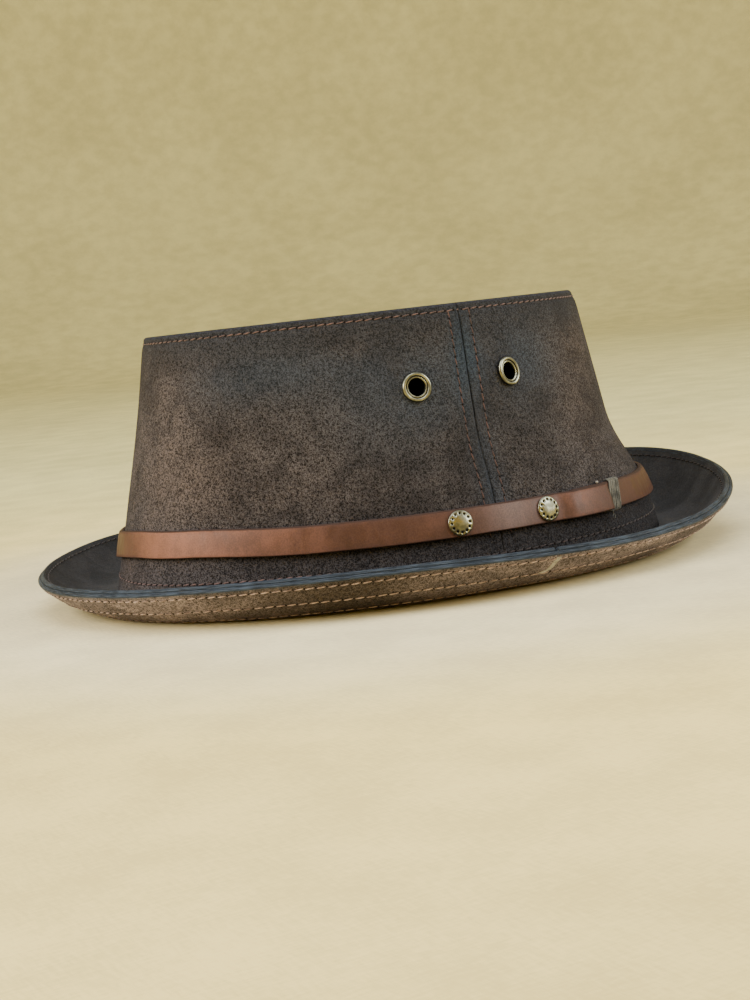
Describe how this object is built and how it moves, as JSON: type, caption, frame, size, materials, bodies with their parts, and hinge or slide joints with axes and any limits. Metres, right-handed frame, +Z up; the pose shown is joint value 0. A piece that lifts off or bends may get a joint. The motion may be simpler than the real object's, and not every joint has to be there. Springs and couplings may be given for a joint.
{
  "type": "porkpie hat",
  "caption": "Stitched leather porkpie hat: sunk flat top, tapering crown of side panels, turned-up layered brim, lashed strap with studs, brass eyelets.",
  "frame": {"origin": "on the floor, under the middle of the hat's overall box", "axes": "+Z up, +Y to the back of the head, +X to the wearer's left, the side with the lashed strap end and the studs"},
  "size_m": [0.2426, 0.2704, 0.0967],
  "materials": {
    "crown_leather": "dark brown rough-out leather with a fine nap and blue-grey dyed areas near the raw edges",
    "brim_leather": "very dark brown leather with a dull surface and a blue-black painted edge",
    "under_leather": "brown rough-out leather with a fine nap and a blue-black painted edge",
    "strap_leather": "smooth mid-brown strap leather with a soft sheen and darker edges",
    "thread": "grey-green waxed thread",
    "brass": "antique brass, slightly dulled"
  },
  "bodies": {
    "root": {"crown_front": "crown_leather", "crown_rear": "crown_leather", "crown_tip": "crown_leather", "brim_top": "brim_leather", "brim_under": "under_leather", "strap": "strap_leather", "strap_lashing": "thread", "stud_front": "brass", "stud_rear": "brass", "eyelet_left_front": "brass", "eyelet_left_rear": "brass", "eyelet_right_front": "brass", "eyelet_right_rear": "brass"}
  },
  "joints": []
}
